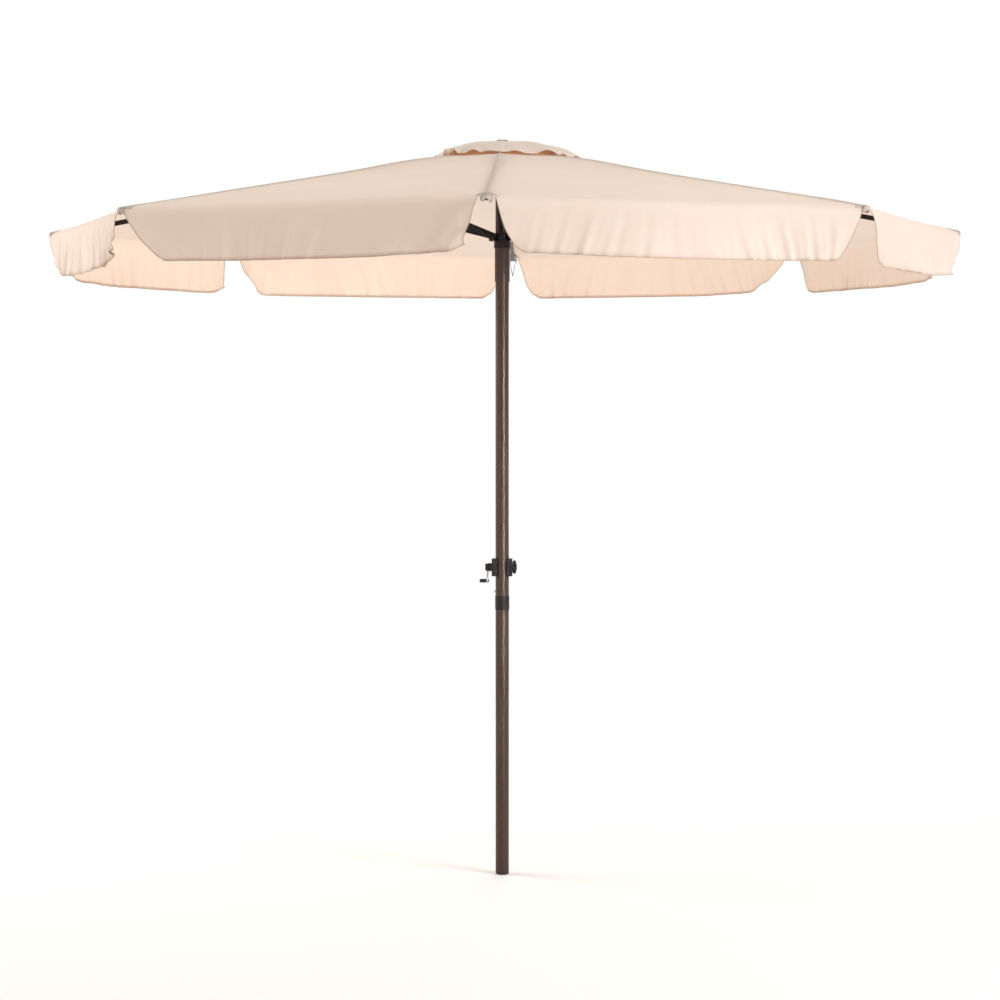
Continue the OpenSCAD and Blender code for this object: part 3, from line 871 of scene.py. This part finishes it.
@dataclass
class Valance:
    """Eight flaps hung from the hem; each half hangs from the rib tip beside it."""

    canopy: Canopy
    keep: float = 0.06
    roll_out: float = 0.012
    hem_wide: float = 0.008
    hem_off: float = 0.0009
    binding_r: float = 0.0013
    across: int = 72
    down: int = 30
    drops: tuple[float, ...] = (0.15, 0.153, 0.157, 0.158, 0.158, 0.156, 0.15, 0.15)
    ends: tuple[tuple[FlapEnd, FlapEnd], ...] = (
        (FlapEnd(0.026, 0.088, 0.012, 0.003, 0.06, 0.01, 1.7), FlapEnd(0.016, 0.08, 0.014, 0.002)),
        (FlapEnd(0.04, 0.19, 0.012, 0.006, -0.03, 0.012, 1.3), FlapEnd(0.012, 0.07, 0.01, 0.003, 0.12)),
        (FlapEnd(0.04, 0.12, 0.03, 0.006, 0.16), FlapEnd(0.03, 0.14, 0.016, 0.007, 0.0, 0.02)),
        (FlapEnd(0.02, 0.1, 0.03, 0.006, 0.1, 0.035), FlapEnd(0.02, 0.09, 0.02, 0.004, 0.0, 0.015)),
        (FlapEnd(0.02, 0.1, 0.016, 0.003, 0.0, 0.02), FlapEnd(0.03, 0.1, 0.03, 0.009)),
        (FlapEnd(0.022, 0.09, 0.03, 0.012, 0.0, 0.02), FlapEnd(0.03, 0.11, 0.02, 0.004, 0.1)),
        (FlapEnd(0.012, 0.13, 0.012, 0.004, 0.1), FlapEnd(0.03, 0.15, 0.02, 0.006, 0.14, 0.03)),
        (FlapEnd(0.012, 0.12, 0.008, 0.002, 0.05), FlapEnd(0.028, 0.07, 0.016, 0.008, 0.06, 0.02)),
    )

    def flap(self, gore: int, t: Array, w: Array) -> Array:
        """Return points on a flap.

        Args:
            gore: the gore that it hangs from.
            t: the share of the way from its first side edge to its second.
            w: the share of the way down.

        Returns:
            The points.
        """
        gore %= RIBS
        chord = CHORD * self.canopy.radius
        drop = self.drops[gore]
        first, second = self.ends[gore]
        wc = np.clip(w, 0, 1)
        one = first.top + (first.bottom - first.top) * wc**first.bend
        one = one + first.ripple * np.sin(7.5 * wc + gore) * wc
        two = second.top + (second.bottom - second.top) * wc**second.bend
        two = two + second.ripple * np.sin(8 * wc + 2 * gore) * wc
        along = one + (chord - one - two) * t
        hem = self.canopy.gore(gore, along / chord, np.ones_like(t))
        out = rib_way(gore + 0.5)
        push = self.folds(gore, along, w) + self.roll_out * (1 - np.exp(-w * drop / self.roll_out))
        fall = drop * w
        for end, away, reach in ((first, along - one, along), (second, chord - two - along, chord - along)):
            push = push - end.curl * wc**1.3 * bell(away, 0.05)
            fall = fall - drop * w * end.rise * (1 - smooth(reach, 0.0, 0.42))
            fall = fall - end.corner * wc**3 * bell(away, 1.1 * end.corner + 1e-4)
        return hem + out * push[..., None] - np.array([0, 0, 1.0]) * fall[..., None]

    def folds(self, gore: int, along: Array, w: Array) -> Array:
        """Return how far the folds push a flap outwards.

        Args:
            gore: the gore's number.
            along: the distance along the hem from the first rib's line.
            w: the share of the way down.

        Returns:
            The push at each place.
        """
        phase = 2.1 * gore
        chord = CHORD * self.canopy.radius
        drop = self.drops[gore]
        loose = 1.4 if 0 < gore < RIBS - 1 else 0.95
        wc = np.clip(w, 0, 1)
        lean = along + 0.05 * w * np.sin(2 * phase + 6 * along)
        push = 0.0036 * wave(lean, 0.31, phase)
        push = push + 0.0028 * wave(lean, 0.147, 2.6 * phase)
        fine = 0.0036 * wave(lean, 0.061, 4.1 * phase) + 0.0018 * np.sin(lean / 0.0055 + phase)
        push = push + fine * (0.25 + np.sin(5 * along + phase) ** 2) * (0.3 + 0.7 * wc)
        # slanting pulls that run down from the second rib's corner
        away = chord - along
        wide = 0.15 if gore == RIBS - 1 else 0.095
        slant = wave(away - 0.9 * drop * w, wide, phase)
        pull = {1: 0.009, RIBS - 1: 0.021}.get(gore, 0.0045)
        push = push * loose + pull * slant * bell(away, 0.24) * smooth(away, 0.0, 0.04)
        return push * wc**0.8

    def normals(self, gore: int, t: Array, w: Array) -> Array:
        """Return unit normals on the outer face of a flap."""
        return unit_normals(lambda a, b: self.flap(gore, a, b), t, w, rib_way(gore + 0.5))

    def dress(self) -> None:
        """Build both half flaps beside every rib."""
        for rib in range(RIBS):
            for side, gore, t in (
                ("left", rib, np.linspace(0, 0.5, self.across)),
                ("right", (rib - 1) % RIBS, np.linspace(1, 0.5, self.across)),
            ):
                self.half(rib, side, gore, t)

    def half(self, rib: int, side: str, gore: int, t: Array) -> None:
        """Build one half flap with its hem.

        Args:
            rib: the rib whose tip it hangs from.
            side: the side of the rib that it is on.
            gore: the gore's number.
            t: the places along it, from its side edge to the gore's middle.
        """
        tt, ww = np.meshgrid(t, np.linspace(0, 1, self.down))
        points = self.flap(gore, tt, ww)
        drop = self.drops[gore]
        reach = spaced(points[-1])
        maker = Maker()
        maker.grid(points, pair(reach[None, :], ww * drop), normals=self.normals(gore, tt, ww))
        cloth = maker.build(f"valance_cloth_{rib}_{side}", [Finish.CLOTH])
        hem = self.hem(rib, side, gore, t)
        for piece in (cloth, hem):
            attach(piece, f"valance_{rib}")
            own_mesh(piece)
        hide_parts(f"valance_{rib}")

    def hem(self, rib: int, side: str, gore: int, t: Array) -> bpy.types.Object:
        """Build the turned hem along the bottom and the side edge of a half flap, on its inner face.

        Args:
            rib: the rib whose tip the flap hangs from.
            side: the side of the rib that it is on.
            gore: the gore's number.
            t: the places along it, from its side edge to the gore's middle.

        Returns:
            The hem.
        """
        drop = self.drops[gore]
        band = self.hem_wide / drop
        maker = Maker()
        inward = -rib_way(gore + 0.5) * self.hem_off
        low = np.array([1 - band, 1 - band / 2, 1.0])
        tt, ww = np.meshgrid(t, low)
        points = self.flap(gore, tt, ww) + inward
        maker.grid(points, pair((1 - ww) * drop - 0.0075, spaced(points[-1])[None, :]))
        bottom = self.flap(gore, t, np.ones_like(t)) + inward * 0.5
        w = np.linspace(0.02, 1, self.down)
        edge = self.flap(gore, np.full_like(w, t[0]), w) + inward * 0.5
        maker.tube(np.concatenate([edge[:-1], bottom]), self.binding_r, slot=1)
        return maker.build(f"valance_hem_{rib}_{side}", [Finish.TAPE, Finish.BINDING])


@dataclass
class VentCap:
    """The cap over the vent: eight small puffed gores, sewn down at the ribs and open between them."""

    canopy: Canopy
    inner: float = 0.045
    seat: float = 0.0195
    shoulder: float = 0.62
    plateau: float = 0.016
    reach: tuple[float, ...] = (0.238, 0.256, 0.274, 0.256, 0.24, 0.234, 0.232, 0.236)
    clear: float = 0.009
    keep: float = 0.3
    cut_wide: float = 0.18
    cut_long: float = 0.2
    binding_r: float = 0.0013
    hole: float = 0.006
    lap: float = 0.004
    arches: tuple[tuple[tuple[float, float, float], ...], ...] = (
        ((0.26, 0.17, 0.005), (0.84, 0.2, 0.012)),
        ((0.24, 0.16, 0.005), (0.7, 0.2, 0.008)),
        ((0.3, 0.22, 0.011), (0.72, 0.2, 0.008)),
        ((0.25, 0.18, 0.009), (0.68, 0.22, 0.012)),
        ((0.3, 0.2, 0.01), (0.75, 0.18, 0.009)),
        ((0.28, 0.2, 0.012), (0.72, 0.2, 0.008)),
        ((0.2, 0.1, 0.006), (0.78, 0.11, 0.018)),
        ((0.08, 0.09, 0.015), (0.47, 0.15, 0.013), (0.8, 0.2, 0.004)),
    )

    def point(self, gore: int, u: Array, t: Array) -> Array:
        """Return points on the cap.

        Args:
            gore: the gore's number.
            u: the share of the way from rib to rib.
            t: the share of the way from its middle to its edge.

        Returns:
            The points.
        """
        gore %= RIBS
        ra = self.inner + (self.reach[gore] - self.inner) * t
        rb = self.inner + (self.reach[(gore + 1) % RIBS] - self.inner) * t
        point = ((1 - u) * ra)[..., None] * rib_way(gore) + (u * rb)[..., None] * rib_way(gore + 1)
        r = (1 - u) * ra + u * rb
        tc = np.clip(t, 0, 1)
        top = self.canopy.apex_z() + self.seat - self.plateau * np.minimum(tc / self.shoulder, 1) ** 2
        edge = self.canopy.rib_z(r) + self.clear
        outer = np.clip((tc - self.shoulder) / (1 - self.shoulder), 0, 1)
        z = top + (edge - top) * outer**1.1
        mid = np.sin(math.pi * np.clip(u, 0, 1))
        for centre, half, high in self.arches[gore]:
            z = z + high * np.cos(np.clip((u - centre) / half, -1, 1) * math.pi / 2) ** 1.3 * outer**1.6
        z = z + 0.0016 * np.sin(11 * u + 5 * tc + gore) * outer * mid - 0.002 * mid * np.sin(math.pi * tc)
        point[..., 2] = z
        return point

    def dress(self) -> None:
        """Build the cap's sectors, its crown and the band of painted warm shade that shows through its gaps."""
        for rib in range(RIBS):
            cloth = self.sector(rib)
            liner = self.liner(rib)
            for piece in (cloth, liner):
                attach(piece, f"rib_{rib}")
                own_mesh(piece)
        crown = self.crown()
        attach(crown, "mast")
        log.info("%s: %.4f m2", crown.name, area_of(crown))

    def sector(self, rib: int) -> bpy.types.Object:
        """Build the cap's cloth on both sides of a rib.

        Args:
            rib: the rib's number.

        Returns:
            The cloth.
        """
        maker = Maker()
        away = np.linspace(0, 0.5, 22)
        for gore, across in ((rib, away[::-1]), (rib - 1, 1 - away)):
            u, t = np.meshgrid(across, np.linspace(0, 1, 30))
            maker.grid(self.point(gore, u, t), pair(u * self.cut_wide, t * self.cut_long))
            maker.tube(self.point(gore, across, np.ones_like(across)), self.binding_r, slot=1)
        return maker.build(f"vent_cap_{rib}", [Finish.CAP, Finish.BINDING])

    def liner(self, rib: int) -> bpy.types.Object:
        """Build a band of painted warm shade under the cap, which stands in for the shade in the cap's gaps.

        Args:
            rib: the rib's number.

        Returns:
            The band.
        """
        maker = Maker()
        away = np.linspace(0, 0.5, 16)
        for gore, across in ((rib, away[::-1]), (rib - 1, 1 - away)):
            u, k = np.meshgrid(across, np.linspace(0, 1, 6))
            low = self.point(gore, u, np.full_like(u, 0.9))
            high = self.point(gore, u, np.full_like(u, 0.84))
            r = np.linalg.norm(low[..., :2], axis=-1)
            low[..., 2] = self.canopy.rib_z(r)
            points = low + (high - np.array([0, 0, 0.002]) - low) * k[..., None]
            maker.grid(points, pair(u * self.cut_wide, k * 0.04))
        return maker.build(f"vent_gap_shade_{rib}", [Finish.LINER])

    def crown(self) -> bpy.types.Object:
        """Build the middle of the cap, which the finial clamps to the hub.

        Returns:
            The crown.
        """
        maker = Maker()
        turn = np.linspace(0, 2 * math.pi, 12 * RIBS, endpoint=False)
        tt, ss = np.meshgrid(turn, np.linspace(0, 1, 6))
        r = self.hole + (self.inner + self.lap - self.hole) * ss
        z = np.full_like(r, self.canopy.apex_z() + self.seat + 0.0006) - 0.0012 * ss**2
        points = np.stack([r * np.cos(tt), r * np.sin(tt), z], axis=-1)
        maker.grid(points, points[..., :2], round_too=True)
        return maker.build("vent_crown", [Finish.CAP])


@dataclass
class CornerPocket:
    """The sewn pocket at a canopy corner that the rib's tip cap sits in."""

    canopy: Canopy
    half: float = 0.0165
    depth: float = 0.022
    long: float = 0.06
    patch: float = 0.05
    web: float = 0.009
    wrap: float = 2.6
    cut_half: float = 0.03
    binding_r: float = 0.0012
    strap_rib: int = 4
    strap_drop: float = 0.078

    def dress(self) -> None:
        """Build a pocket on every rib."""
        for rib in range(RIBS):
            pocket = self.pocket(rib)
            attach(pocket, f"rib_{rib}")
            log.info("%s: %d faces", pocket.name, len(pocket.data.polygons))

    def place(self, rib: int, out: Array, side: Array, up: Array) -> Array:
        """Place points beside a rib.

        Args:
            rib: the rib's number.
            out: their distance out along it.
            side: their distance to its left.
            up: their height above the cloth's line over it.

        Returns:
            The points.
        """
        point = out[..., None] * rib_way(rib) + side[..., None] * rib_side(rib)
        point[..., 2] = self.canopy.rib_z(out) + up
        return point

    def pocket(self, rib: int) -> bpy.types.Object:
        """Build one pocket: a sleeve round the tip, the patch on top and, on one rib, the tie below.

        Args:
            rib: the rib's number.

        Returns:
            The pocket.
        """
        maker = Maker()
        around, along = np.meshgrid(np.linspace(-1, 1, 25), np.linspace(0, 1, 9))
        turn = around * self.wrap
        side = self.half * np.sin(turn) * (0.9 + 0.1 * along)
        up = self.canopy.lift + 0.0004 - self.depth / 1.857 * (1 - np.cos(turn)) * (0.75 + 0.25 * along)
        up = up + 0.0015 * np.sin(12 * around + 2 * rib) * along * np.abs(around)
        out = self.canopy.radius + 0.002 - self.long * (1 - along) - 0.009 * np.abs(around) ** 2
        points = self.place(rib, out, side, up)
        maker.grid(points, pair(around * self.cut_half, along * self.long))
        maker.tube(points[-1], self.binding_r, slot=1)
        fold, shut = np.meshgrid(around[0], np.linspace(0, 1, 7))
        bulge = 0.007 * np.sin(shut * math.pi / 2) + 0.002 * np.sin(9 * fold + rib) * shut * (1 - shut)
        middle = self.place(rib, np.array(out[-1].max()), np.array(0.0), np.array(self.canopy.lift - 0.011))
        end = points[-1][None, :, :] * (1 - shut[..., None]) + middle * shut[..., None]
        end = end + bulge[..., None] * rib_way(rib)
        maker.grid(end, pair(fold * self.cut_half, shut * 0.02))
        v0 = 1 - self.patch / (self.canopy.radius - self.canopy.vent_r)
        for gore, sign in ((rib, 1), (rib - 1, -1)):
            vv, k = np.meshgrid(np.linspace(v0, 0.999, 8), np.linspace(0, 1, 7), indexing="ij")
            spread = k * (vv - v0) / (1 - v0) * 0.036
            u = spread / (CHORD * self.canopy.radius)
            spot = self.canopy.gore(gore, u if sign > 0 else 1 - u, vv) + np.array([0, 0, 0.0011])
            maker.grid(spot, pair(spread, vv * 1.35), slot=2)
        if rib == self.strap_rib:
            self.strap(maker, rib)
        return maker.build(f"corner_pocket_{rib}", [Finish.CLOTH, Finish.BINDING, Finish.PATCH, Finish.WEB])

    def strap(self, maker: Maker, rib: int) -> None:
        """Add the loop of webbing that hangs under one tip and ties the closed canopy.

        Args:
            maker: the mesh that it joins.
            rib: the rib's number.
        """
        a, c = np.meshgrid(np.linspace(-1, 1, 13), np.linspace(-0.5, 0.5, 3))
        side = a * self.half * 0.8
        up = -self.strap_drop + (self.strap_drop - 0.012) * np.abs(a) ** 1.1 + c * self.web
        out = self.canopy.radius - 0.024 + 0.004 * a
        maker.grid(self.place(rib, out, side, up), pair(a * self.cut_half, c * self.web), slot=3)


# ---------------------------------------------------------------- frame and studio


@dataclass
class Frame:
    """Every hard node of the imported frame."""

    def dress(self) -> None:
        """Give each node the finish of its slot."""
        slots = {slot.value[0]: slot.value[1] for slot in Slot}
        for row in frame["record"]["subparts"]:
            node = frame["nodes"][row["node"]]
            finish = Finish.RUNNER if row["node"] == "runner" else slots[row["material_slot"]]
            node.data.materials.clear()
            node.data.materials.append(finish.material())
            log.info("%s: %s", row["node"], finish.value.name)


@dataclass(frozen=True)
class Lamp:
    """A soft lamp that faces the pole at one height, square unless it has a height of its own."""

    name: str
    place: tuple[float, float, float]
    side: float
    watts: float
    colour: Colour
    tall: float = 0.0
    beam: float = math.pi
    aim: float = 2.0

    def build(self) -> None:
        """Add the lamp to the scene."""
        data = bpy.data.lights.new(self.name, "AREA")
        data.size = self.side
        data.spread = self.beam
        if self.tall:
            data.shape = "RECTANGLE"
            data.size_y = self.tall
        data.energy = self.watts
        data.color = self.colour
        lamp = bpy.data.objects.new(self.name, data)
        lamp.location = self.place
        way = Vector((0, 0, self.aim)) - Vector(self.place)
        lamp.rotation_euler = way.to_track_quat("-Z", "Y").to_euler()
        lamp.visible_camera = False
        bpy.context.scene.collection.objects.link(lamp)


@dataclass
class Studio:
    """Floor, soft lamps, white surroundings and the camera."""

    turn: float = 0.0289
    distance: float = 7.5296
    side_step: float = -0.0075
    height: float = 1.6431
    pitch: float = 0.0515
    lens: float = 81.573
    floor_r: float = 9.0
    lamps: tuple[Lamp, ...] = (
        Lamp("key_lamp", (5.5, -3.4, 4.2), 2.4, 250.0, (0.985, 0.99, 1.0)),
        Lamp("rim_lamp", (-5.7, 1.4, 3.4), 3.0, 225.0, (1.0, 0.98, 0.96)),
        Lamp("back_lamp", (1.0, 5.6, 2.4), 3.4, 172.0, (1.0, 0.97, 0.94)),
        Lamp("pole_lamp", (3.2, -5.4, 1.2), 0.45, 1.9, (0.96, 1.0, 1.0), 1.5, math.radians(11), 1.2),
    )

    def build(self) -> None:
        """Build the whole studio."""
        self.world()
        self.floor()
        for lamp in self.lamps:
            lamp.build()
        self.camera()
        bpy.context.scene.view_settings.view_transform = "Standard"
        log.info("studio: %d lamps, floor and camera", len(self.lamps))

    def world(self) -> None:
        """White for the camera and for reflections, and an even soft light for all else."""
        s = Shader("studio_world", world=True)
        soft = s.add("ShaderNodeBackground", Color=(1.0, 0.96, 0.905, 1.0), Strength=0.63)
        white = s.add("ShaderNodeBackground", Color=(1.0, 1.0, 1.0, 1.0), Strength=1.0)
        s.mix_shaders(s.looked_at(), soft, white)
        bpy.context.scene.world = s.owner

    def floor(self) -> None:
        """A pale floor that fades to white away from the pole and keeps the shadow."""
        rings = np.linspace(0.02, 1, 24) ** 1.5 * self.floor_r
        turn = np.linspace(0, 2 * math.pi, 96, endpoint=False)
        t, r = np.meshgrid(turn, rings)
        points = np.stack([r * np.cos(t), r * np.sin(t), np.full_like(r, -0.0005)], axis=-1)
        mesh = bpy.data.meshes.new("studio_floor")
        maker = Maker()
        maker.grid(points, points[..., :2], round_too=True)
        faces = [*maker.faces, tuple(range(len(turn)))]
        mesh.from_pydata(points.reshape(-1, 3).tolist(), [], faces)
        made = bpy.data.objects.new("studio_floor", mesh)
        bpy.context.scene.collection.objects.link(made)
        s = Shader("floor_paper")
        place = s.add("ShaderNodeTexCoord").outputs["Object"]
        reach = s.add("ShaderNodeVectorMath", operation="LENGTH")
        s.link(place, reach.inputs[0])
        edge = s.add("ShaderNodeMapRange", interpolation_type="SMOOTHSTEP", From_Min=1.2, From_Max=5.0)
        s.link(reach.outputs["Value"], edge.inputs["Value"])
        paper = s.add("ShaderNodeBsdfDiffuse", Color=(0.87, 0.87, 0.87, 1.0))
        white = s.add("ShaderNodeEmission", Color=(1.0, 1.0, 1.0, 1.0), Strength=1.0)
        s.mix_shaders(s.math("MULTIPLY", s.looked_at(), edge.outputs["Result"]), paper, white)
        mesh.materials.append(s.owner)

    def camera(self) -> None:
        """Stand the camera in front of the front rib, a little to its right."""
        data = bpy.data.cameras.new("camera")
        data.lens = self.lens
        data.sensor_width = 36.0
        camera = bpy.data.objects.new("camera", data)
        c, s = math.cos(self.turn), math.sin(self.turn)
        camera.location = (
            self.side_step * c + self.distance * s,
            self.side_step * s - self.distance * c,
            self.height,
        )
        camera.rotation_euler = (math.pi / 2 - self.pitch, 0.0, self.turn)
        bpy.context.scene.collection.objects.link(camera)
        bpy.context.scene.camera = camera


def main() -> None:
    """Build the studio, then each sub-assembly in turn."""
    logging.basicConfig(level=logging.INFO, format="%(message)s")
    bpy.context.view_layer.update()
    Studio().build()
    Frame().dress()
    canopy = Canopy()
    canopy.dress()
    Valance(canopy).dress()
    VentCap(canopy).dress()
    CornerPocket(canopy).dress()


if __name__ == "__main__":
    main()
